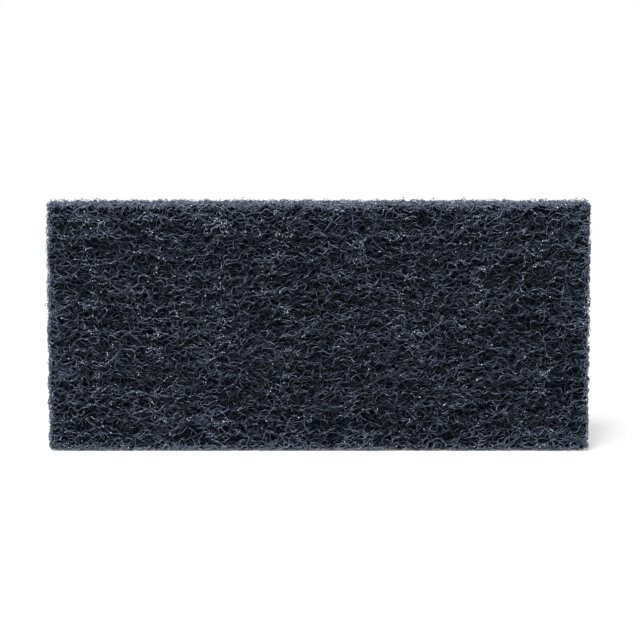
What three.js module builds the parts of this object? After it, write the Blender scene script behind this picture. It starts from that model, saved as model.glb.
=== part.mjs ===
// A nylon scouring pad, standing on one long edge.
//
// The real pad is one piece: a thick rectangle cut from a lofty web of crimped nylon
// fibres that resin bonds where they cross. Its surface is matted fibre with open pits
// between the strands, and the pits run longer along the web than across it.
// Here the web is one closed solid with those pits sunk into all six sides.
//
// Units are millimetres and +Z is up. X runs along the pad, Y through its thickness,
// and the origin is the middle of the underside.
import * as THREE from "three";
import { mergeVertices } from "three/addons/utils/BufferGeometryUtils.js";

// Driving dimensions of the cut block
const padLength = 254;
const padThickness = 25;
const padHeight = 117;
const edgeRadius = 1.5; // rounding that the cutting die leaves along every edge

// The pits between the matted strands: how far apart they lie along X, Y and Z
const pitPitchAlong = 10;
const pitPitchThrough = 7;
const pitPitchUp = 6.6;
const pitDepth = 4.2; // the deepest pit
const pitShallowest = 0.35; // the shallowest pit, as a share of the deepest
const pitShare = 0.86; // how many places in the lattice have a pit
const pitScatter = 0.34; // how far a point strays from its lattice place, in half pitches

// Grooves that join two pits lying side by side along the web
const grooveDepth = 3;
const grooveShare = 0.5;

// The web kept at an edge or between two sides: the deepest that a pit may go, as a share of
// how far it lies from the nearest edge of its side, or of half the way through the pad
const wallShare = 0.75;

const webColour = 0x2b2f38;
const webRoughness = 0.75;

// A repeatable number from 0 to 1 for each point of the lattice and each use of it.
function chance(use, side, i, j) {
  const wave = Math.sin(use * 37.719 + side * 17.137 + i * 12.9898 + j * 78.233) * 43758.5453;
  return wave - Math.floor(wave);
}

// The uses of chance, each with a seed of its own.
const seeds = { present: 1, depth: 2, strayFirst: 3, straySecond: 4, groove: 5, grooveDepth: 6 };

// The lattice along one axis: the two faces, the two lines where the rounding ends, and
// two cells for each pit between them. Points run from 0 to the size.
function latticeAlong(size, pitch) {
  const flat = size - 2 * edgeRadius;
  const pits = Math.max(1, Math.round(flat / pitch));
  const halfPitch = flat / (2 * pits);
  const last = 2 * pits + 2;
  const at = (n) => {
    if (n === 0) return 0;
    if (n === last) return size;
    return edgeRadius + (n - 1) * halfPitch;
  };
  const middlePit = 2 * Math.ceil(pits / 2);
  return { size, halfPitch, last, at, middlePit };
}

const lattice = [
  latticeAlong(padLength, pitPitchAlong),
  latticeAlong(padThickness, pitPitchThrough),
  latticeAlong(padHeight, pitPitchUp),
];

// A pit's centre has two even numbers on its side's lattice, and a groove's middle lies
// between two pits that are neighbours along the first axis.
const isPit = (i, j) => i % 2 === 0 && j % 2 === 0;
const isGroove = (i, j) => i % 2 === 1 && j % 2 === 0;

// The pit nearest the middle of a side is left out, with the grooves that touch it, so
// that each side keeps a flat place for a hand, a holder or the floor.
function isMiddle(first, second, i, j) {
  return Math.abs(i - lattice[first].middlePit) <= 1 && j === lattice[second].middlePit;
}

// How deep the web lies below a side at one point of its lattice.
function depthAt(side, first, second, i, j) {
  if (isMiddle(first, second, i, j)) return 0;
  if (isPit(i, j) && chance(seeds.present, side, i, j) < pitShare) {
    const share = THREE.MathUtils.lerp(pitShallowest, 1, chance(seeds.depth, side, i, j));
    return pitDepth * share;
  }
  if (isGroove(i, j) && chance(seeds.groove, side, i, j) < grooveShare) {
    return grooveDepth * chance(seeds.grooveDepth, side, i, j);
  }
  return 0;
}

// The point of a rounded block that stands for one corner, edge or face point of a sharp one.
function rounded(point) {
  const inner = point.map((value, axis) =>
    THREE.MathUtils.clamp(value, edgeRadius, lattice[axis].size - edgeRadius),
  );
  const out = new THREE.Vector3(...point.map((value, axis) => value - inner[axis]));
  out.setLength(edgeRadius);
  return inner.map((value, axis) => value + out.getComponent(axis));
}

// The deepest that a point may be sunk without meeting the pits of another side.
function deepestAt(point, first, second, normalAxis) {
  const fromEdge = (axis) => Math.min(point[axis], lattice[axis].size - point[axis]);
  const halfway = lattice[normalAxis].size / 2;
  return wallShare * Math.min(fromEdge(first), fromEdge(second), halfway);
}

// A point of one side, strayed from its lattice place and sunk to its depth.
function pitted(point, index, normalAxis) {
  const [first, second] = [0, 1, 2].filter((axis) => axis !== normalAxis);
  const [i, j] = [index[first], index[second]];
  const atFarSide = index[normalAxis] > 0;
  const side = 2 * normalAxis + (atFarSide ? 1 : 0);
  const stray = (use) => pitScatter * (2 * chance(use, side, i, j) - 1);
  const moved = [...point];
  moved[first] += stray(seeds.strayFirst) * lattice[first].halfPitch;
  moved[second] += stray(seeds.straySecond) * lattice[second].halfPitch;
  const deepest = deepestAt(moved, first, second, normalAxis);
  const depth = Math.min(depthAt(side, first, second, i, j), deepest);
  moved[normalAxis] += atFarSide ? -depth : depth;
  return moved;
}

// Where one point of the lattice comes to lie on the pad.
function placeOnPad(index) {
  const point = index.map((n, axis) => lattice[axis].at(n));
  const onFace = index.map((n, axis) => n === 0 || n === lattice[axis].last);
  const normalAxis = onFace.indexOf(true);
  const insideRim = index.every(
    (n, axis) => axis === normalAxis || (n > 1 && n < lattice[axis].last - 1),
  );
  return insideRim ? pitted(point, index, normalAxis) : rounded(point);
}

// Each square of the block is two triangles, a b d and b c d. Where its pit's centre is a
// or c, the square is split the other way, so that every pit is a ring of eight slopes.
function splitSquaresAtPits(corners, isCentre) {
  for (let n = 0; n < corners.length; n += 6) {
    const [a, b, d, , c] = corners.slice(n, n + 6);
    if (isCentre(a) || isCentre(c)) corners.splice(n, 6, a, b, c, a, c, d);
  }
  return corners;
}

// The web's surface: a block with one square for each cell of the lattice, its shared
// corners merged so that it is one closed skin, and each point moved to its place.
function makeWebGeometry() {
  const cells = lattice.map((axis) => axis.last);
  const block = new THREE.BoxGeometry(...cells, ...cells);
  block.deleteAttribute("normal");
  block.deleteAttribute("uv");
  const skin = mergeVertices(block, 1e-3);
  const places = skin.getAttribute("position");
  const indexOf = (n) =>
    cells.map((count, axis) => Math.round(places.getComponent(n, axis) + count / 2));
  const indices = Array.from({ length: places.count }, (_, n) => indexOf(n));
  const isCentre = (n) => indices[n].every((step) => step % 2 === 0);
  skin.setIndex(splitSquaresAtPits(Array.from(skin.index.array), isCentre));
  indices.forEach((index, n) => {
    const [x, y, z] = placeOnPad(index);
    places.setXYZ(n, x - padLength / 2, y - padThickness / 2, z);
  });
  skin.computeVertexNormals();
  return skin;
}

const webMaterial = new THREE.MeshStandardMaterial({
  color: webColour,
  roughness: webRoughness,
  metalness: 0,
});

const scouringPad = new THREE.Mesh(makeWebGeometry(), webMaterial);
scouringPad.name = "scouring_pad";

const pad = new THREE.Group();
pad.add(scouringPad);

export default pad;
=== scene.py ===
# %% [markdown]
# A nylon scouring pad, dressed strand by strand.
#
# The real pad is a thick rectangle cut from a lofty web of crimped nylon fibres. Resin bonds
# the fibres where they cross, and open pits are left between them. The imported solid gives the
# block and its main pits. This script builds the web on top of it: a dark inner web, thousands
# of crimped strands on all six sides, and small points of hard resin that catch the light.
#
# The frame comes first, and nothing in it is moved, so every strand is placed from its box.

# %% Load the frame
import math
from collections import namedtuple

import bpy
import numpy as np
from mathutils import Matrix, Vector


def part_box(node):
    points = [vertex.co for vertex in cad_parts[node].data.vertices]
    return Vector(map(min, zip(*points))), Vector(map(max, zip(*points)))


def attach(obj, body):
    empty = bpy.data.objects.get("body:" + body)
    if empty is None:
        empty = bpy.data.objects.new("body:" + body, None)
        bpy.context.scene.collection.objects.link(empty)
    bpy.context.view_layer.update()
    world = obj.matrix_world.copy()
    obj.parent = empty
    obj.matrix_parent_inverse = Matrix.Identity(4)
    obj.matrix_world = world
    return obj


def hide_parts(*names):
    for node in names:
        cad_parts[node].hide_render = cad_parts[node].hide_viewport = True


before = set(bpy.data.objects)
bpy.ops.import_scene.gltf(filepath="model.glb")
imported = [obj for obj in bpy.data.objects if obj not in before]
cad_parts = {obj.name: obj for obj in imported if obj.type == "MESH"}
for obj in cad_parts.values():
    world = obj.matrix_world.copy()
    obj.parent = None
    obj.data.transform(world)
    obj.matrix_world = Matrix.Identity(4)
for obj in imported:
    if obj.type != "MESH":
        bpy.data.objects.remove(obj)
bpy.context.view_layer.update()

MM = 0.001
low, high = (np.array(corner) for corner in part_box("scouring_pad"))
size = high - low
print("the pad measures", np.round(size / MM, 1), "mm")

seeds = {  # one for each use of chance; a side adds its own number to it
    "small_pits": 100,
    "inner_web": 11,
    "upper_strands": 20,
    "lower_strands": 30,
    "matted_strands": 80,
    "strands": 40,
    "fuzz": 60,
    "grains": 77,
}


def add_object(name, data):
    """A new object of the scene, at the origin."""
    thing = bpy.data.objects.new(name, data)
    bpy.context.scene.collection.objects.link(thing)
    return thing


# %% [markdown]
# The camera stands where the photographer stood: straight in front of the long face and a
# little above it, so that a thin band of the top edge shows. Its height could be guessed, but
# the face in the photo is a little wider at the top than at the bottom, and that share gives
# the angle once the distance is chosen. The lens then follows from how many pixels the face
# spans.

# %% Camera
image_side = 640  # pixels
face_pixels = 544.7  # how wide the front face is in the photo
face_centre_pixel = (318.7, 327.65)  # from the photo's left and from its top
camera_distance = 1.0  # metres
camera_elevation = math.radians(5.7)

metres_per_pixel = size[0] / face_pixels
off_centre = Vector((image_side / 2 - face_centre_pixel[0], 0, face_centre_pixel[1] - image_side / 2))
aim = Vector((0, low[1], size[2] / 2)) + off_centre * metres_per_pixel
towards_camera = Vector((0, -math.cos(camera_elevation), math.sin(camera_elevation)))

camera = add_object("camera", bpy.data.cameras.new("camera"))
camera.location = aim + towards_camera * camera_distance
camera.rotation_euler = (-towards_camera).to_track_quat("-Z", "Y").to_euler()
camera.data.lens = camera.data.sensor_width * camera_distance / (image_side * metres_per_pixel)
bpy.context.scene.camera = camera
print(f"lens {camera.data.lens:.0f} mm at {camera_distance} m")

# %% [markdown]
# A side of the block is a flat place with its own two directions. Everything below is worked
# out on a side, as a distance along it, a distance across it and a depth into the pad, and
# only then put into the frame. That way one function serves all six sides.

# %% The six sides
Side = namedtuple("Side", "name first second facing far")
sides = [
    Side("left", 1, 2, 0, 0),
    Side("right", 1, 2, 0, 1),
    Side("front", 0, 2, 1, 0),
    Side("back", 0, 2, 1, 1),
    Side("under", 0, 1, 2, 0),
    Side("top", 0, 1, 2, 1),
]
side_number = {side.name: number for number, side in enumerate(sides)}


def outward(side):
    """The unit vector that the side faces along."""
    direction = np.zeros(3)
    direction[side.facing] = 1 if side.far else -1
    return direction


def extent(side):
    """How far the side runs along and across."""
    return size[[side.first, side.second]]


def place(side, along, across, depth):
    """Points in the frame: along and across are measured over the side from its low corner,
    and depth is measured into the pad from the side's plane."""
    points = np.empty(np.broadcast(along, across, depth).shape + (3,))
    plane = high if side.far else low
    points[..., side.first] = low[side.first] + along
    points[..., side.second] = low[side.second] + across
    points[..., side.facing] = plane[side.facing] - outward(side)[side.facing] * depth
    return points


def from_nearest_edge(side, along, across):
    """How far points of a side lie from the nearest of its four edges."""
    whole = extent(side)
    return np.minimum.reduce([along, whole[0] - along, across, whole[1] - across])


# %% [markdown]
# The pits come from the same lattice and the same repeatable chance as the solid's pits, so
# the dressed web keeps the solid's form. They could be read back from the solid's mesh, but a
# formula also gives their centres, which the strands need in order to bend round them.

# %% The solid's pits
edge_radius = 1.5 * MM
pit_pitch = np.array([10, 7, 6.6]) * MM
pit_depth = 4.2 * MM
pit_shallowest = 0.35
pit_share = 0.86
pit_scatter = 0.34
groove_depth = 3 * MM
groove_share = 0.5
wall_share = 0.75
chance_uses = ("present", "depth", "stray_first", "stray_second", "groove", "groove_depth")
chance_turns = (37.719, 17.137, 12.9898, 78.233)  # for each use, side, row and column
chance_stretch = 43758.5453

Pits = namedtuple("Pits", "along across half_along half_across depth")


def chance(use, side, i, j):
    """A repeatable number from 0 to 1: what is left of a large sine after its whole part."""
    per_use, per_side, per_row, per_column = chance_turns
    start = (chance_uses.index(use) + 1) * per_use + side_number[side.name] * per_side
    wave = np.sin(start + i * per_row + j * per_column) * chance_stretch
    return wave - np.floor(wave)


def lattice_pits(side):
    """The solid's own pits and grooves on one side. Each lies on a lattice of half pitches,
    strays from it by chance, and is no deeper than the way to the side's edge allows."""
    flat = extent(side) - 2 * edge_radius
    counts = np.maximum(1, np.round(flat / pit_pitch[[side.first, side.second]]))
    half = flat / (2 * counts)
    last = (2 * counts + 2).astype(int)
    i, j = np.meshgrid(np.arange(2, last[0] - 1), np.arange(2, last[1] - 1, 2), indexing="ij")
    share = pit_shallowest + (1 - pit_shallowest) * chance("depth", side, i, j)
    pit = np.where(chance("present", side, i, j) < pit_share, pit_depth * share, 0)
    groove = groove_depth * chance("groove_depth", side, i, j)
    groove = np.where(chance("groove", side, i, j) < groove_share, groove, 0)
    middle = 2 * np.ceil(counts / 2)
    bare = (np.abs(i - middle[0]) <= 1) & (j == middle[1])
    depth = np.where(bare, 0, np.where(i % 2 == 0, pit, groove))
    stray_along = pit_scatter * (2 * chance("stray_first", side, i, j) - 1)
    stray_across = pit_scatter * (2 * chance("stray_second", side, i, j) - 1)
    along = edge_radius + (i - 1 + stray_along) * half[0]
    across = edge_radius + (j - 1 + stray_across) * half[1]
    from_edge = from_nearest_edge(side, along, across)
    depth = np.minimum(depth, wall_share * np.minimum(from_edge, size[side.facing] / 2))
    kept = depth > 0
    halves = (np.full(kept.sum(), half[0]), np.full(kept.sum(), half[1]))
    return Pits(along[kept], across[kept], *halves, depth[kept])


# %% [markdown]
# Between the main pits the real web has many smaller ones. They are scattered freely, so that
# the lattice behind the main pits doesn't show.

# %% Smaller pits
small_pit_area = 42 * MM**2  # how much of a side there is for each small pit
small_pit_half = (1.3 * MM, 2.8 * MM)
small_pit_squat = (0.5, 0.8)  # its size across, as a share of its size along
small_pit_depth = (1.6 * MM, 3.4 * MM)
small_pit_fade = 5 * MM  # nearer than this to a side's edge they are shallower
small_pit_least = 0.2  # the share of its depth that one at the very edge keeps


def small_pits(side, rng):
    """Pits scattered over a side at even odds, longer along the web than across it. The knife
    mats the web near the edges, so they are shallower there."""
    whole = extent(side)
    count = int(whole[0] * whole[1] / small_pit_area)
    half = rng.uniform(*small_pit_half, count)
    along = rng.uniform(half, whole[0] - half)
    across = rng.uniform(half, whole[1] - half)
    near_edge = from_nearest_edge(side, along, across) / small_pit_fade
    depth = rng.uniform(*small_pit_depth, count) * np.clip(near_edge, small_pit_least, 1)
    return Pits(along, across, half, half * rng.uniform(*small_pit_squat, count), depth)


pits = {}
for number, side in enumerate(sides):
    rng = np.random.default_rng(seeds["small_pits"] + number)
    both = zip(lattice_pits(side), small_pits(side, rng))
    pits[side.name] = Pits(*(np.concatenate(pair) for pair in both))
    print(side.name, len(pits[side.name].depth), "pits")

# %% [markdown]
# Two questions are asked of the pits: how deep the web is at a point, and which pit is nearest,
# so that a strand can be led round it. Both compare every point with every pit of the side.
# That is a large table, so the points are taken a few thousand at a time.

# %% Asking the pits
points_at_a_time = 4000
waver_reach = np.array([1.1, 0.7]) * MM  # how far the pits' outlines waver along and across
waver_lengths = np.array([9, 5.5, 31, 23]) * MM
bowl_power = 1.3  # above 1, a bowl's rim is soft


def wavering(along, across):
    """The same points moved by slow sine waves, which makes round pits uneven."""
    turn = 2 * math.pi / waver_lengths
    moved_along = along + waver_reach[0] * np.sin(across * turn[0] + along * turn[2])
    moved_across = across + waver_reach[1] * np.sin(along * turn[1] + across * turn[3])
    return moved_along, moved_across


def ask_pits(side, along, across):
    """For each point: the web's depth there, and the offset from the nearest pit in units of
    its half sizes, with those half sizes. The depth is the deepest of all bowls, each one its
    pit's depth times (1 - distance squared) to a power, out to the distance 1."""
    found = pits[side.name]
    shape = np.broadcast(along, across).shape
    moved = wavering(np.broadcast_to(along, shape).ravel(), np.broadcast_to(across, shape).ravel())
    depth, nearest, offset = [], [], []
    for start in range(0, moved[0].size, points_at_a_time):
        part = slice(start, start + points_at_a_time)
        u = (moved[0][part, None] - found.along) / found.half_along
        v = (moved[1][part, None] - found.across) / found.half_across
        squared = u * u + v * v
        depth.append((found.depth * np.clip(1 - squared, 0, 1) ** bowl_power).max(axis=1))
        pick = squared.argmin(axis=1)
        row = np.arange(len(pick))
        nearest.append(pick)
        offset.append(np.stack([u[row, pick], v[row, pick]], axis=-1))
    nearest = np.concatenate(nearest).reshape(shape)
    halves = np.stack([found.half_along[nearest], found.half_across[nearest]], axis=-1)
    return np.concatenate(depth).reshape(shape), np.concatenate(offset).reshape(shape + (2,)), halves


# %% [markdown]
# Shader maths reads best as plain sums. A small class wraps a node's output so that writing
# `1 - mask` adds the Math node for it, and one method adds every other kind of node.

# %% A material written as sums
class Value:
    """A node's output, which can be added, subtracted and multiplied."""

    def __init__(self, recipe, socket):
        self.recipe = recipe
        self.socket = socket

    def _math(self, operation, *operands):
        settings = {"operation": operation}
        return self.recipe.node("ShaderNodeMath", settings, dict(enumerate(operands)))

    def __add__(self, other):
        return self._math("ADD", self, other)

    def __sub__(self, other):
        return self._math("SUBTRACT", self, other)

    def __rsub__(self, other):
        return self._math("SUBTRACT", other, self)

    def __mul__(self, other):
        return self._math("MULTIPLY", self, other)

    __radd__ = __add__
    __rmul__ = __mul__


class Recipe:
    """The nodes of a material or a world."""

    def __init__(self, owner):
        owner.use_nodes = True
        self.owner = owner
        self.tree = owner.node_tree

    def node(self, kind, settings=None, inputs=None, output=0):
        """Adds one node and gives one of its outputs. Settings are set first, with a ramp's
        stops as pairs of place and colour, and then the inputs, by name or number."""
        node = self.tree.nodes.new(kind)
        for name, value in (settings or {}).items():
            if name == "stops":
                set_stops(node.color_ramp, value)
            else:
                setattr(node, name, value)
        for name, value in (inputs or {}).items():
            self.feed(node.inputs[name], value)
        return Value(self, node.outputs[output])

    def feed(self, socket, value):
        """Links a socket to another node's output, or sets it to a plain value."""
        if isinstance(value, Value):
            self.tree.links.new(value.socket, socket)
        else:
            socket.default_value = value

    def shade(self, inputs, shader="Principled BSDF"):
        """Feeds the inputs of the shader that the material or world starts with, by name."""
        for name, value in inputs.items():
            self.feed(self.tree.nodes[shader].inputs[name], value)


def set_stops(ramp, stops):
    """Sets a ramp's stops, each a place from 0 to 1 and a colour."""
    while len(ramp.elements) < len(stops):
        ramp.elements.new(1)
    for element, (where, colour) in zip(ramp.elements, stops):
        element.position = where
        element.color = (*colour, 1)


def fade_out(recipe, distance, over, shape="LINEAR"):
    """1 up to the first distance, and then evenly or smoothly down to 0 at the second."""
    inputs = {"Value": distance, "From Min": over[0], "From Max": over[1], "To Min": 1, "To Max": 0}
    return recipe.node("ShaderNodeMapRange", {"interpolation_type": shape}, inputs)


# %% [markdown]
# Every new piece goes into Blender the same way: vertices, faces of four or three corners, a
# UV for each corner, smooth shading, a material, and the ties to the frame. Filling the mesh
# with foreach_set takes whole arrays, which is far quicker than adding faces one by one.

# %% Making a piece
def make_piece(name, points, quads, triangles, corner_uv, material):
    """Makes a smooth mesh that rides on the pad, from its points, its faces of four and then
    of three corners, and the UV at each corner. Points that no face uses are left out."""
    corners = np.concatenate([quads.ravel(), triangles.ravel()])
    used, corners = np.unique(corners, return_inverse=True)
    mesh = bpy.data.meshes.new(name)
    mesh.vertices.add(len(used))
    mesh.vertices.foreach_set("co", points[used].astype(np.float32).ravel())
    mesh.loops.add(len(corners))
    mesh.loops.foreach_set("vertex_index", corners.astype(np.int32))
    starts = np.concatenate([
        np.arange(len(quads)) * 4,
        len(quads) * 4 + np.arange(len(triangles)) * 3,
    ])
    mesh.polygons.add(len(starts))
    mesh.polygons.foreach_set("loop_start", starts.astype(np.int32))
    mesh.uv_layers.new(name="OFBake")
    mesh.uv_layers["OFBake"].data.foreach_set("uv", corner_uv.astype(np.float32).ravel())
    mesh.update(calc_edges=True)
    mesh.validate()
    mesh.shade_smooth()
    mesh.materials.append(material)
    piece = add_object(name, mesh)
    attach(piece, "root")
    print(name, 2 * len(quads) + len(triangles), "triangles")
    return piece


# %% [markdown]
# The inner web is what is seen between the strands: more fibre, too deep to tell apart. Its
# near-black ground is painted shade, for the dark deep in the web. It could be strands too,
# but most of them would be hidden. So it is one closed skin a little below the sides, sunk
# into the pits, with its fibres as a pattern of cell edges in the finish.

# %% Finish of the inner web
web_cells = (1.9 * MM, 1.3 * MM)  # the spacing of fibres in each of its two networks
web_stretch = 0.6  # how high the cells are, as a share of how wide they are
web_bend = 2.4  # how far noise bends the cells, in cells
web_bend_noise = {"Scale": 0.55, "Detail": 3}
fibre_edge = (0.02, 0.11)  # where a fibre's full shade ends and its ground starts, in cells
far_shift = 7.3  # moves the second network off the first, in cells
far_share = 0.45  # how much of the second network shows between the patches
web_patch_noise = {"Scale": 260, "Detail": 2}
# painted shade: the near-black ground between the fibres stands in for the shade deep in the web
web_painted_shade = (0.0007, 0.0009, 0.0014, 1)
web_fibre = (0.026, 0.031, 0.046, 1)
web_bump = {"Distance": 0.5 * MM, "Strength": 0.9}
web_gloss = {"Roughness": 0.9, "Specular IOR Level": 0.0}


def fibre_network(recipe, place_on_pad, cell, shift):
    """1 on the fibres and 0 between them: the edges of the cells of a stretched lattice that
    noise has bent."""
    scale = (web_stretch / cell, 1 / cell, 1 / cell)
    stretched = recipe.node(
        "ShaderNodeVectorMath",
        {"operation": "MULTIPLY_ADD"},
        {0: place_on_pad, 1: scale, 2: (shift, shift, shift)},
    )
    noise = recipe.node("ShaderNodeTexNoise", {}, {"Vector": stretched, **web_bend_noise}, "Color")
    bent = recipe.node(
        "ShaderNodeVectorMath",
        {"operation": "MULTIPLY_ADD"},
        {0: noise, 1: (web_bend, web_bend, web_bend), 2: stretched},
    )
    to_edge = recipe.node(
        "ShaderNodeTexVoronoi", {"feature": "DISTANCE_TO_EDGE"}, {"Vector": bent, "Scale": 1.0}
    )
    return fade_out(recipe, to_edge, fibre_edge, "SMOOTHSTEP")


def web_finish():
    """Two networks of fibres over a near-black ground of painted shade: the near one in patches of
    noise, and a share of the far one between them."""
    recipe = Recipe(bpy.data.materials.new("inner_web"))
    place_on_pad = recipe.node("ShaderNodeTexCoord", output="Object")
    near = fibre_network(recipe, place_on_pad, web_cells[0], 0)
    far = fibre_network(recipe, place_on_pad, web_cells[1], far_shift)
    patch = recipe.node("ShaderNodeTexNoise", {}, {"Vector": place_on_pad, **web_patch_noise})
    fibre = near * patch + far_share * far * (1 - patch)
    colour = recipe.node(
        "ShaderNodeMix",
        {"data_type": "RGBA"},
        {"Factor": fibre, "A": web_painted_shade, "B": web_fibre},
        "Result",
    )
    bump = recipe.node("ShaderNodeBump", {}, {"Height": fibre, **web_bump})
    recipe.shade({"Base Color": colour, "Normal": bump, **web_gloss})
    return recipe.owner


# %% Inner web
web_cell_size = 1.6 * MM
web_recess = 2.4 * MM  # how far its surface lies below the pad's sides, at the least
web_below_pit = 0.3 * MM  # and how far below a pit's own bottom
web_fade = 2.2 * MM  # over this distance from a side's edge its pits fade out
web_uneven = 0.22 * MM  # how far its points stray in depth
atlas_side = 300 * MM  # the UV square, in which each side of the pad has a place of its own
atlas_corners = {
    "front": (0, 0),
    "back": (0, 120 * MM),
    "top": (0, 240 * MM),
    "under": (0, 270 * MM),
    "left": (260 * MM, 0),
    "right": (260 * MM, 120 * MM),
}


def rounded(points):
    """Points of a sharp block moved onto a rounded one, with the way out of it. Each point is
    the nearest place in the inner block plus the rounding's radius along the way out."""
    inner = np.clip(points, low + edge_radius, high - edge_radius)
    way_out = points - inner
    way_out /= np.linalg.norm(way_out, axis=-1, keepdims=True)
    return inner + way_out * edge_radius, way_out


def make_inner_web(rng):
    """A closed skin of squares on the block's six sides. Each point of the rounded block goes
    inwards by the recess or by a little more than the pits' depth, whichever is more, and
    strays by chance. The squares of three sides are turned so that all of them face out."""
    cells = np.round(size / web_cell_size).astype(int)
    number = np.full(cells + 1, -1)
    on_skin = np.ones(cells + 1, bool)
    on_skin[1:-1, 1:-1, 1:-1] = False
    number[on_skin] = np.arange(on_skin.sum())
    steps = np.argwhere(on_skin)
    points = low + steps / cells * size
    placed, way_out = rounded(points)
    depth = np.zeros(len(points))
    quads, corner_uv = [], []
    for side in sides:
        edge = cells[side.facing] if side.far else 0
        grid = np.take(number, edge, axis=side.facing)
        turned = grid if (side.far == 1) != (side.facing == 1) else grid.T
        squares = np.stack(
            [turned[:-1, :-1], turned[1:, :-1], turned[1:, 1:], turned[:-1, 1:]], axis=-1
        ).reshape(-1, 4)
        quads.append(squares)
        on_side = (points - low)[:, [side.first, side.second]]
        corner_uv.append((on_side[squares] + atlas_corners[side.name]) / atlas_side)
        along, across = on_side[grid][..., 0], on_side[grid][..., 1]
        near_edge = from_nearest_edge(side, along, across) / web_fade
        sunk = ask_pits(side, along, across)[0] * np.clip(near_edge, 0, 1)
        depth[grid] = np.maximum(depth[grid], sunk)
    depth = np.maximum(web_recess, depth + web_below_pit)
    depth += web_uneven * rng.normal(size=len(depth))
    web = make_piece(
        "inner_web",
        placed - way_out * depth[:, None],
        np.concatenate(quads),
        np.empty((0, 3), int),
        np.concatenate(corner_uv),
        web_finish(),
    )
    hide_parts("scouring_pad")


make_inner_web(np.random.default_rng(seeds["inner_web"]))

# %% [markdown]
# A strand of the web is a crimped filament, bent this way and that by the machine that laid
# it. Blender's curves could carry it, but thousands of curves are slow, so each strand is a
# row of stations. Its heading swings as the sum of two sine waves and a slow drift, and the
# stations are the running sum of short steps along that heading.

# %% How a strand runs
# Spread is how far headings scatter about the long way, and swings how far they sway, both in
# radians. Drift is in radians for each metre travelled.
Crimp = namedtuple("Crimp", "stations step spread swing_lengths swings drift")


def crimped_runs(rng, count, crimp):
    """Stations along and across a side, centred on zero, as an array of strands by stations.
    The heading is the side's long way by chance, plus a long swing, a short one and a drift."""
    travelled = np.arange(crimp.stations) * crimp.step
    heading = crimp.spread * rng.normal(size=(count, 1))
    heading = heading + rng.choice([0, math.pi], (count, 1))
    for length_range, swing_range in zip(crimp.swing_lengths, crimp.swings):
        length = rng.uniform(*length_range, (count, 1))
        swing = rng.uniform(*swing_range, (count, 1))
        phase = rng.uniform(0, 2 * math.pi, (count, 1))
        heading = heading + swing * np.sin(2 * math.pi * travelled / length + phase)
    heading = heading + rng.uniform(-1, 1, (count, 1)) * crimp.drift * (travelled - travelled.mean())
    along = np.cumsum(np.cos(heading), axis=1) * crimp.step
    across = np.cumsum(np.sin(heading), axis=1) * crimp.step
    return along - along.mean(axis=1, keepdims=True), across - across.mean(axis=1, keepdims=True)


# %% [markdown]
# Strands near the surface part round a pit and crowd its rim, as threads do round a hole
# poked in felt. A point at distance r from the pit goes to the cube root of r cubed plus the
# rim's radius cubed: the middle moves out to the rim, and points far away stay put.

# %% Parting round the pits
rim = 0.42  # the open part of a pit, as a share of its half sizes
parting_depth = 2.4 * MM  # strands deeper than this cross the pit


def part_round_pits(side, along, across, depth, dip):
    """The same stations led round the nearest pit: their distance from its middle becomes the
    cube root of distance cubed plus rim cubed, with less rim the deeper they lie. They also
    dip into it by a share of its depth."""
    sunk, offset, halves = ask_pits(side, along, across)
    distance = np.linalg.norm(offset, axis=-1) + 1e-6  # never quite zero
    share = np.clip(1 - depth / parting_depth, 0, 1)
    parted = np.cbrt(distance**3 + (rim * share) ** 3)
    move = offset * (parted / distance - 1)[..., None] * halves
    return along + move[..., 0], across + move[..., 1], depth + dip * sunk


# %% [markdown]
# The knife crushes the soft web where it cuts, so the pad's edges and corners are rounder than
# a sharp block's. A bevel would need a solid to work on. Here a strand's way in from the
# side's outline says how far it lies below the side's plane, which rounds the strands too.

# %% The outline of a side
corner_radius = 3 * MM


def distance_inside(side, along, across):
    """How far points lie inside the side's outline, a rectangle with round corners: the radius
    less the distance from the smaller rectangle that holds the corners' centres."""
    half = extent(side) / 2
    over = np.abs(np.stack([along, across], axis=-1) - half) - (half - corner_radius)
    outside = np.linalg.norm(np.maximum(over, 0), axis=-1)
    return corner_radius - outside - np.minimum(over.max(axis=-1), 0)


def rounding(inside):
    """How far the round edge lies below the side's plane: a quarter circle's fall."""
    to_flat = corner_radius - np.clip(inside, 0, corner_radius)
    return corner_radius - np.sqrt(corner_radius**2 - to_flat**2)


# %% [markdown]
# A side is covered by layers of strands: a fine one on top, a coarse one below it and a matted
# one along the outline, where the knife has pressed the strands together. A layer is only a
# set of numbers, so one function lays them all. Each strand ends where it meets the cut. Its
# shade is painted darker with depth, as painted shade where less light gets down, and paler
# near the cut edges, as painted light.

# %% A web of strands on one side
# A layer's cover is the share of the side that its strands would hide if none crossed. Their
# levels lie between its top and its bottom, each waves up and down by the sag, and dip is the
# share of a pit's depth that they sink into it. Uneven is how far they follow the slow waves
# of an uneven side, and matted strands lie along the outline.
Layer = namedtuple("Layer", "crimp cover radii top bottom sag dip matted uneven", defaults=(False, 0))
sag_share = (0.3, 1)  # each strand has its own share of the layer's sag
shade_range = (0.11, 0.90)  # from the darkest strand to the palest, before what follows
shade_lift = 0.1  # added to every strand's shade
painted_shade_per_depth = -0.24 / MM  # painted shade: deeper strands are painted darker, where less light gets down
shade_swing = 0.4  # how much a strand's shade swings along it, as resin coats it unevenly
shade_swing_length = (2.4 * MM, 7 * MM)
painted_edge_light = 0.6  # painted light: how much paler the strands are painted near the cut edges, where more light reaches them
painted_edge_light_reach = 5 * MM
cut_proud, cut_short = 0.35 * MM, 0.9 * MM  # how far past or short of the edge a strand is cut
sown_past = 2.5 * MM  # middles of strands lie this far past the edges too, to keep them full
sag_length = (4.5 * MM, 11 * MM)
uneven_lengths = (13 * MM, 7.4 * MM)  # of the two waves that make a cut side uneven
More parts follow.
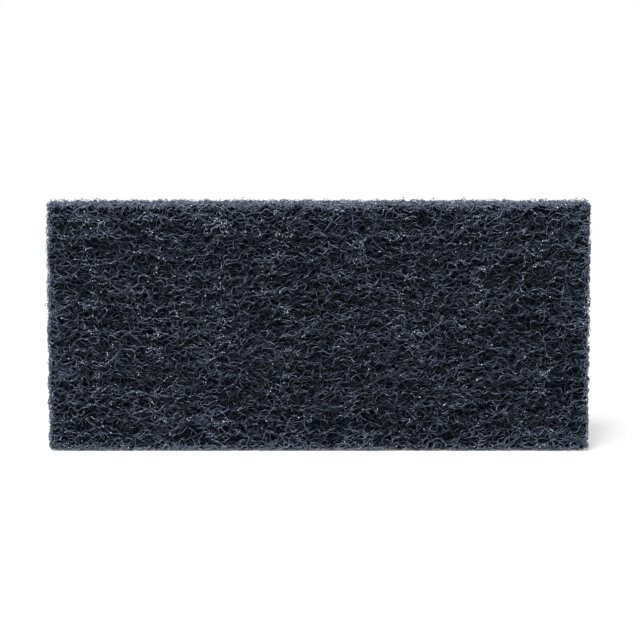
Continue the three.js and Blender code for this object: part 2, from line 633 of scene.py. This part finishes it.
uneven_slant, uneven_start = 0.6, 1  # of the second wave, which leans and starts later
lumps = (0.6, 1.3)  # resin sits on the strands in lumps, so their radius varies by this much
mat_width = 2.6 * MM  # how far in, on average, the matted strands lie from the outline


def swinging(rng, travelled, count, lengths):
    """A sine wave along each strand, its length and start by chance."""
    turn = 2 * math.pi / rng.uniform(*lengths, (count, 1))
    return np.sin(travelled * turn + rng.uniform(0, 2 * math.pi, (count, 1)))


def unevenness(along, across):
    """From -2 to 2: the sum of two slow waves that cross each other."""
    turn = 2 * math.pi / np.array(uneven_lengths)
    first = np.sin((along + across) * turn[0])
    return first + np.sin((along - uneven_slant * across) * turn[1] + uneven_start)


def sow_widely(rng, side, along, across):
    """The same runs, moved to places all over the side and a little past it."""
    whole = extent(side)
    return (
        along + rng.uniform(-sown_past, whole[0] + sown_past, (len(along), 1)),
        across + rng.uniform(-sown_past, whole[1] + sown_past, (len(along), 1)),
    )


def sow_near_outline(rng, side, along, across):
    """The same runs, moved to places along the side's outline, with fewer of them the further
    in. Those on its short edges are turned a quarter, to run along the edge too."""
    whole = extent(side)
    one_each = (len(along), 1)
    upright = rng.random(one_each) < whole[1] / whole.sum()
    inset = rng.exponential(mat_width, one_each)
    far = rng.random(one_each) < 0.5
    along, across = np.where(upright, across, along), np.where(upright, along, across)
    edge_along = np.where(far, whole[0] - inset, inset)
    edge_across = np.where(far, whole[1] - inset, inset)
    along = along + np.where(upright, edge_along, rng.uniform(0, whole[0], one_each))
    across = across + np.where(upright, rng.uniform(0, whole[1], one_each), edge_across)
    return along, across


def lay_strands(rng, side, layer):
    """Stations in the frame, which of them lie on the pad, and the shade at each. There are as
    many strands as the cover needs, from the area of each. A strand's depth is its own level
    plus a slow wave and the side's unevenness. It ends where it passes the cut edge or the
    underside. Its shade is its own plus a slow wave, less for depth as painted shade, and more
    near the cut edges by an exponential of the way in, as painted light."""
    crimp = layer.crimp
    sown = extent(side) + 2 * sown_past
    sown_area = 2 * sown.sum() * mat_width if layer.matted else sown.prod()
    strand_area = crimp.stations * crimp.step * 2 * np.mean(layer.radii)
    count = int(layer.cover * sown_area / strand_area)
    sow = sow_near_outline if layer.matted else sow_widely
    along, across = sow(rng, side, *crimped_runs(rng, count, crimp))
    travelled = np.arange(crimp.stations) * crimp.step
    level = rng.uniform(layer.top, layer.bottom, (count, 1))
    sag = layer.sag * rng.uniform(*sag_share, (count, 1))
    depth = level + sag * swinging(rng, travelled, count, sag_length)
    depth = depth + layer.uneven * unevenness(along, across)
    along, across, depth = part_round_pits(side, along, across, depth, layer.dip)
    inside = distance_inside(side, along, across)
    on_pad = inside > rng.uniform(-cut_proud, cut_short, (count, 1))
    # painted shade: the shade falls with depth, standing in for the light that doesn't get down
    shade = rng.uniform(*shade_range, (count, 1)) + shade_lift + painted_shade_per_depth * depth
    shade += shade_swing * swinging(rng, travelled, count, shade_swing_length)
    # painted light: the shade rises near the cut edges, standing in for the light that reaches them
    shade += painted_edge_light * np.exp(-np.maximum(inside, 0) / painted_edge_light_reach)
    points = place(side, along, across, depth + rounding(inside))
    on_pad &= points[..., 2] > low[2]
    points[..., 2] = np.maximum(points[..., 2], low[2] + layer.radii[1] * lumps[1])
    return points, on_pad, shade


# %% [markdown]
# Each strand becomes a closed tube with three corners. That sounds coarse, but a strand is
# about a pixel wide, and smooth shading rounds it. Three corners keep the whole web light
# enough to hold tens of thousands of bends.

# %% Tubes along the stations
ring_corners = 3
shade_thickness = 0.012  # how much of the UV square a strand's rings take up and down


def unit(vectors):
    """The same vectors with a length of one, safe for one without a length."""
    return vectors / (np.linalg.norm(vectors, axis=-1, keepdims=True) + 1e-12)


def tube_arrays(rng, points, radii, kept, outwards, shade):
    """Points, faces and UVs of tubes. At every station a ring of corners, with a radius of its
    own, stands square to the way ahead. Four-cornered faces join the rings where both
    stations are kept, and a triangle closes each end. In the UV square a strand runs from side
    to side at the height of its shade, so strands that overlap there also look alike there."""
    ahead = unit(np.gradient(points, axis=1))
    sideways = unit(np.cross(ahead, outwards))
    up = np.cross(sideways, ahead)
    turn = (2 * math.pi / ring_corners * np.arange(ring_corners))[:, None]
    ring = np.cos(turn) * up[:, :, None] + np.sin(turn) * sideways[:, :, None]
    vertices = points[:, :, None] + radii[:, :, None, None] * ring

    strands, stations = kept.shape
    number = np.arange(strands * stations * ring_corners).reshape(strands, stations, ring_corners)
    joined = kept[:, 1:] & kept[:, :-1]
    here, there = number[:, :-1][joined], number[:, 1:][joined]
    quads = np.stack(
        [here, np.roll(here, -1, axis=1), np.roll(there, -1, axis=1), there], axis=-1
    ).reshape(-1, 4)
    before = np.pad(joined, ((0, 0), (1, 0)))[:, :-1]
    after = np.pad(joined, ((0, 0), (0, 1)))[:, 1:]
    first_ring = number[:, :-1][joined & ~before]
    last_ring = number[:, 1:][joined & ~after]
    triangles = np.concatenate([first_ring[:, ::-1], last_ring])

    uv = np.empty(number.shape + (2,))
    run = np.arange(stations) / (stations - 1)
    uv[..., 0] = np.abs((rng.uniform(0, 2, (strands, 1)) + run) % 2 - 1)[:, :, None]
    height = np.clip(shade, 0, 1)[:, :, None] * (1 - shade_thickness)
    uv[..., 1] = height + shade_thickness * np.linspace(0, 1, ring_corners)
    corner_uv = uv.reshape(-1, 2)[np.concatenate([quads.ravel(), triangles.ravel()])]
    return vertices.reshape(-1, 3), quads, triangles, corner_uv


# %% [markdown]
# The fibres are dyed nylon under a thin coat of resin: a dark slate blue with a soft gloss.
# One colour would look like wire, so a ramp gives a range of shades, from near black to pale.
# The shade is read from the UV square, which needs no image and stays with each strand.

# %% Finish of the strands
# The ramp's dark end also carries the painted shade of deep strands, and its pale end the painted
# light at the cut edges.
strand_shades = [
    (0.0, (0.003, 0.004, 0.0066)),
    (0.3, (0.013, 0.016, 0.026)),
    (0.6, (0.050, 0.060, 0.090)),
    (0.85, (0.093, 0.108, 0.149)),
    (1.0, (0.128, 0.144, 0.188)),
]
strand_mottle = 0.5  # how far noise moves the shade
mottle_noise = {"Scale": 26, "Detail": 2}
strand_tints = [(0.35, (0.88, 1.03, 1.04)), (0.65, (1.07, 0.97, 1.03))]  # from green to violet
tint_noise = {"Scale": 7, "Detail": 1}
strand_gloss = {
    "Roughness": 0.32,
    "Specular IOR Level": 0.45,
    "Specular Tint": (0.78, 0.87, 1.0, 1),
}


def strand_finish():
    """A strand's shade comes from its height in the UV square, and in part from noise along
    it, as resin coats it unevenly. A slower noise tints it a little green or violet."""
    recipe = Recipe(bpy.data.materials.new("nylon_strand"))
    uv = recipe.node("ShaderNodeUVMap", {"uv_map": "OFBake"})
    mottled = recipe.node("ShaderNodeTexNoise", {}, {"Vector": uv, **mottle_noise})
    row = recipe.node("ShaderNodeSeparateXYZ", {}, {"Vector": uv}, "Y")
    shade = row + strand_mottle * (mottled - 0.5)
    colour = recipe.node("ShaderNodeValToRGB", {"stops": strand_shades}, {"Fac": shade})
    hue = recipe.node("ShaderNodeTexNoise", {}, {"Vector": uv, **tint_noise})
    tint = recipe.node("ShaderNodeValToRGB", {"stops": strand_tints}, {"Fac": hue})
    colour = recipe.node("ShaderNodeVectorMath", {"operation": "MULTIPLY"}, {0: colour, 1: tint})
    recipe.shade({"Base Color": colour, **strand_gloss})
    return recipe.owner


nylon = strand_finish()

# %% [markdown]
# The two large faces come first. Their strands run mostly along the pad, the way the web came
# off the machine. The fine upper strands take short steps with tight swings. The coarse lower
# ones take longer steps, as only parts of them are seen.

# %% Strands of the two large faces
upper_crimp = Crimp(
    stations=18,
    step=1.0 * MM,
    spread=0.52,
    swing_lengths=((6.5 * MM, 14 * MM), (3.4 * MM, 6 * MM)),
    swings=((0.3, 1.05), (0.2, 0.75)),
    drift=45,
)
upper = Layer(
    crimp=upper_crimp,
    cover=0.40,
    radii=(0.13 * MM, 0.22 * MM),
    top=0.1 * MM,
    bottom=1.4 * MM,
    sag=0.8 * MM,
    dip=0.34,
)
lower_crimp = Crimp(
    stations=13,
    step=1.9 * MM,
    spread=0.6,
    swing_lengths=((9 * MM, 20 * MM), (6.5 * MM, 9 * MM)),
    swings=((0.3, 1.1), (0.1, 0.6)),
    drift=55,
)
lower = Layer(
    crimp=lower_crimp,
    cover=0.76,
    radii=(0.19 * MM, 0.29 * MM),
    top=0.8 * MM,
    bottom=3.2 * MM,
    sag=0.8 * MM,
    dip=0.34,
)
mat_crimp = Crimp(
    stations=10,
    step=1.1 * MM,
    spread=0.5,
    swing_lengths=((7 * MM, 14 * MM), (4 * MM, 7 * MM)),
    swings=((0.3, 1.0), (0.15, 0.6)),
    drift=60,
)
matted = Layer(
    crimp=mat_crimp,
    cover=0.42,
    radii=(0.13 * MM, 0.22 * MM),
    top=0.3 * MM,
    bottom=1.8 * MM,
    sag=0.6 * MM,
    dip=0.3,
    matted=True,
)


def make_strands(side, kind, layer):
    """One layer of strands on one side, as one piece. It gives back where the strands run."""
    rng = np.random.default_rng(seeds[kind] + side_number[side.name])
    points, kept, shade = lay_strands(rng, side, layer)
    radii = rng.uniform(*layer.radii, (len(points), 1)) * rng.uniform(*lumps, kept.shape)
    tubes = tube_arrays(rng, points, radii, kept, outward(side), shade)
    make_piece(f"{side.name}_{kind}", *tubes, nylon)
    return points[kept]


strand_points = {}
back_sparing = 0.87  # the back has a little less cover, to keep the whole light
for name, sparing in (("front", 1), ("back", back_sparing)):
    side = sides[side_number[name]]
    spared_upper = upper._replace(cover=upper.cover * sparing)
    spared_lower = lower._replace(cover=lower.cover * sparing)
    strand_points[name] = make_strands(side, "upper_strands", spared_upper)
    make_strands(side, "lower_strands", spared_lower)
    make_strands(side, "matted_strands", matted)

# %% [markdown]
# The knife cuts through the web on the other four sides, so strands run more ways there. They
# could be cut ends drawn one by one, but at this size a tangle of short bent strands looks
# the same, and it uses the same function.

# %% Strands of the four cut edges
edge_crimp = Crimp(
    stations=12,
    step=1.5 * MM,
    spread=0.8,
    swing_lengths=((6 * MM, 14 * MM), (3.6 * MM, 6 * MM)),
    swings=((0.4, 1.1), (0.1, 0.5)),
    drift=60,
)
cut = Layer(  # its cover, top and sag are set for each side
    crimp=edge_crimp,
    cover=1,
    radii=(0.17 * MM, 0.27 * MM),
    top=0,
    bottom=2.2 * MM,
    sag=0,
    dip=0.38,
)
cut_edges = {
    "top": cut._replace(cover=0.95, top=0.45 * MM, sag=0.8 * MM, uneven=0.3 * MM),
    "under": cut._replace(cover=0.85, top=0.2 * MM, sag=0.6 * MM),
    "left": cut._replace(cover=1.1, top=0.15 * MM, sag=0.5 * MM, uneven=0.12 * MM),
    "right": cut._replace(cover=1.2, sag=0.2 * MM),
}
for name, layer in cut_edges.items():
    strand_points[name] = make_strands(sides[side_number[name]], "strands", layer)

# %% [markdown]
# The knife leaves a haze of short ends and loops standing out of the cut edges, most of it at
# the top. A particle system could scatter hairs there. A layer of short strands does it with
# the functions at hand: some of them start above the side, and the sag lifts more out of it.

# %% Fuzz on the cut edges
fuzz_crimp = Crimp(
    stations=6,
    step=0.8 * MM,
    spread=1.6,
    swing_lengths=((4 * MM, 9 * MM), (2 * MM, 4 * MM)),
    swings=((0.5, 1.4), (0.2, 0.6)),
    drift=150,
)
fuzz = Layer(  # its cover and sag are set for each side
    crimp=fuzz_crimp,
    cover=0,
    radii=(0.10 * MM, 0.18 * MM),
    top=-0.3 * MM,
    bottom=0.8 * MM,
    sag=0,
    dip=0.5,
)
fuzzy_edges = {"top": (0.28, 1.0 * MM), "left": (0.2, 0.5 * MM), "right": (0.06, 0.1 * MM)}
for name, (cover, sag) in fuzzy_edges.items():
    layer = fuzz._replace(cover=cover, sag=sag, uneven=cut_edges[name].uneven)
    make_strands(sides[side_number[name]], "fuzz", layer)

# %% [markdown]
# Drops of hard resin and bits of grit sit on the outer strands, and each throws back a small
# bright point of light. Their pale, bluish colour is partly a painted glint. Eight faces are
# enough for a thing about a pixel wide, so all of them are octahedra, each turned by chance.
# They lie in clumps, and more of them to the upper left.

# %% Finish of the resin grains
# partly painted glint: the pale, bluish end makes the grains brighter than gloss alone would
resin_shades_and_painted_glint = [(0.0, (0.16, 0.19, 0.25)), (0.6, (0.38, 0.44, 0.54)), (1.0, (0.72, 0.78, 0.88))]
resin_gloss = {"Roughness": 0.2, "Specular IOR Level": 0.7}


def resin_finish():
    """A grain's shade comes from its height in the UV square."""
    recipe = Recipe(bpy.data.materials.new("hard_resin"))
    uv = recipe.node("ShaderNodeUVMap", {"uv_map": "OFBake"})
    row = recipe.node("ShaderNodeSeparateXYZ", {}, {"Vector": uv}, "Y")
    colour = recipe.node("ShaderNodeValToRGB", {"stops": resin_shades_and_painted_glint}, {"Fac": row})
    recipe.shade({"Base Color": colour, **resin_gloss})
    return recipe.owner


# %% Resin grains
grains_on = {"front": 2700, "back": 2300, "top": 500, "under": 200, "left": 230, "right": 170}
grain_radii = (0.13 * MM, 0.36 * MM)
grain_size_power = 2  # above 1, small grains outnumber large ones
grain_stand_off = (0.1 * MM, 0.25 * MM)  # how far out of its strand's middle a grain sits
grain_depth = 0.45 * MM  # over this depth the odds of a grain fall to a third
grain_shades = (0.02, 0.98)  # heights in the UV square
grain_patch = 0.01  # how far a grain's corners spread in the UV square
clump_lengths = (9 * MM, 15 * MM, 26 * MM)
clump_power = 3.2  # the higher, the tighter the clumps
grain_lean = np.array([-1.7, 0, 4.5])  # how fast the odds rise towards the left and the top
octahedron = np.array([[1, 0, 0], [0, 1, 0], [-1, 0, 0], [0, -1, 0], [0, 0, 1], [0, 0, -1]])
octahedron_faces = np.array(
    [[0, 1, 4], [1, 2, 4], [2, 3, 4], [3, 0, 4], [1, 0, 5], [2, 1, 5], [3, 2, 5], [0, 3, 5]]
)


def clumped_picks(rng, points, depths, count):
    """Picks some of the points, at odds that rise and fall with a sum of sine waves laid over
    the pad in chance directions, that fall with depth, and that lean one way."""
    odds = np.zeros(len(points))
    for length in clump_lengths:
        way = rng.normal(size=3)
        way /= np.linalg.norm(way)
        odds += np.sin(points @ way * 2 * math.pi / length + rng.uniform(0, 2 * math.pi))
    odds = (odds - odds.min()) ** clump_power * np.exp(points @ grain_lean - depths / grain_depth)
    return rng.choice(len(points), count, replace=False, p=odds / odds.sum())


def make_grains(rng):
    """Octahedra on picked stations of the strands, pushed out of the side by about a strand's
    radius. A grain's own three axes are a chance triple, made square to each other, with the
    first turned round where the three would mirror it."""
    centres = []
    for name, count in grains_on.items():
        points = strand_points[name]
        way_out = outward(sides[side_number[name]])
        depths = (np.where(way_out > 0, high, low) - points) @ way_out
        picked = points[clumped_picks(rng, points, depths, count)]
        centres.append(picked + rng.uniform(*grain_stand_off, (count, 1)) * way_out)
    centres = np.concatenate(centres)
    smallest, largest = grain_radii
    radii = smallest + (largest - smallest) * rng.random(len(centres)) ** grain_size_power
    turns = np.linalg.qr(rng.normal(size=(len(centres), 3, 3)))[0]
    turns[:, 0] *= np.linalg.det(turns)[:, None]
    points = centres[:, None] + radii[:, None, None] * (octahedron @ turns)
    points[..., 2] = np.maximum(points[..., 2], low[2])
    first = np.arange(len(centres))[:, None, None] * len(octahedron)
    triangles = (first + octahedron_faces).reshape(-1, 3)
    shade = np.repeat(rng.uniform(*grain_shades, len(centres)), octahedron_faces.size)
    corner_uv = np.stack([np.full_like(shade, 0.5), shade], axis=-1)
    corner_uv += grain_patch * rng.uniform(-1, 1, corner_uv.shape)
    quads = np.empty((0, 4), int)
    make_piece("resin_grains", points.reshape(-1, 3), quads, triangles, corner_uv, resin_finish())


make_grains(np.random.default_rng(seeds["grains"]))

# %% [markdown]
# The stage is a white floor under a white sky. In the photo the floor runs out to pure white
# a short way from the pad. A shadow catcher could do that, but a mix of the floor's own
# shading and plain white is simpler, and the mix can fade with distance.

# %% Floor and world
floor_reach = 6.0  # metres
plain_white = (1, 1, 1, 1)
floor_white = (0.75, 0.75, 0.75, 1)
floor_shadow_share = 0.84  # how much of the floor's own shading the camera sees near the pad
floor_shadow_reach = (0.117, 0.148)  # it goes to none over these distances to each side
floor_shadow_lean = 0.13  # how far the shadow's end leans out for each metre behind the pad
floor_shadow_depth = (0.2, 0.34)  # and to none over these distances behind the pad
world_strength = 0.3  # of the sky's light, while the camera sees it at full strength


def make_floor():
    """A large square. It lights the pad as a matt white floor does, but the camera sees plain
    white, mixed near the pad with a share of the floor's own shading."""
    mesh = bpy.data.meshes.new("floor")
    r = floor_reach
    mesh.from_pydata([(-r, -r, 0), (r, -r, 0), (r, r, 0), (-r, r, 0)], [], [(0, 1, 2, 3)])
    recipe = Recipe(bpy.data.materials.new("floor"))
    white = recipe.node("ShaderNodeEmission", {}, {"Color": plain_white, "Strength": 1.0})
    seen = recipe.node("ShaderNodeLightPath", output="Is Camera Ray")
    place_on_floor = recipe.node("ShaderNodeTexCoord", output="Object")
    sideways = recipe.node("ShaderNodeSeparateXYZ", {}, {"Vector": place_on_floor}, "X")
    behind = recipe.node("ShaderNodeSeparateXYZ", {}, {"Vector": place_on_floor}, "Y")
    to_either_side = recipe.node("ShaderNodeMath", {"operation": "ABSOLUTE"}, {0: sideways})
    beside = to_either_side - floor_shadow_lean * behind
    near = fade_out(recipe, beside, floor_shadow_reach) * fade_out(recipe, behind, floor_shadow_depth)
    diffuse = recipe.node("ShaderNodeBsdfDiffuse", {}, {"Color": floor_white})
    white_share = 1 - floor_shadow_share * near
    mixed = recipe.node("ShaderNodeMixShader", {}, {0: seen * white_share, 1: diffuse, 2: white})
    recipe.feed(recipe.tree.nodes["Material Output"].inputs["Surface"], mixed)
    mesh.materials.append(recipe.owner)
    floor = add_object("floor", mesh)


def make_world():
    """A sky that is plain white to the camera and weaker as a light."""
    world = bpy.data.worlds.new("white_sky")
    bpy.context.scene.world = world
    recipe = Recipe(world)
    seen = recipe.node("ShaderNodeLightPath", output="Is Camera Ray")
    strength = world_strength + (1 - world_strength) * seen
    recipe.shade({"Color": plain_white, "Strength": strength}, "Background")


make_floor()
make_world()

# %% [markdown]
# One large soft lamp stands in front, above and to the left, and a weaker one behind keeps the
# back from going black. The key lamp is large enough to soften the shadow's edge, and small
# enough to keep the depth between the strands.

# %% Lamps
lamps = {  # place, width and watts
    "key": ((-0.34, -0.80, 1.15), 0.58, 36),
    "fill": ((0.4, 1.0, 1.1), 1.4, 11),
}


def soft_lamp(name, where, width, watts):
    """A square lamp that faces the middle of the pad."""
    light = bpy.data.lights.new(name, "AREA")
    light.size = width
    light.energy = watts
    lamp = add_object(name, light)
    lamp.location = where
    lamp.rotation_euler = (aim - Vector(where)).to_track_quat("-Z", "Y").to_euler()


for name, (where, width, watts) in lamps.items():
    soft_lamp(name, where, width, watts)

bpy.context.scene.view_settings.view_transform = "Standard"
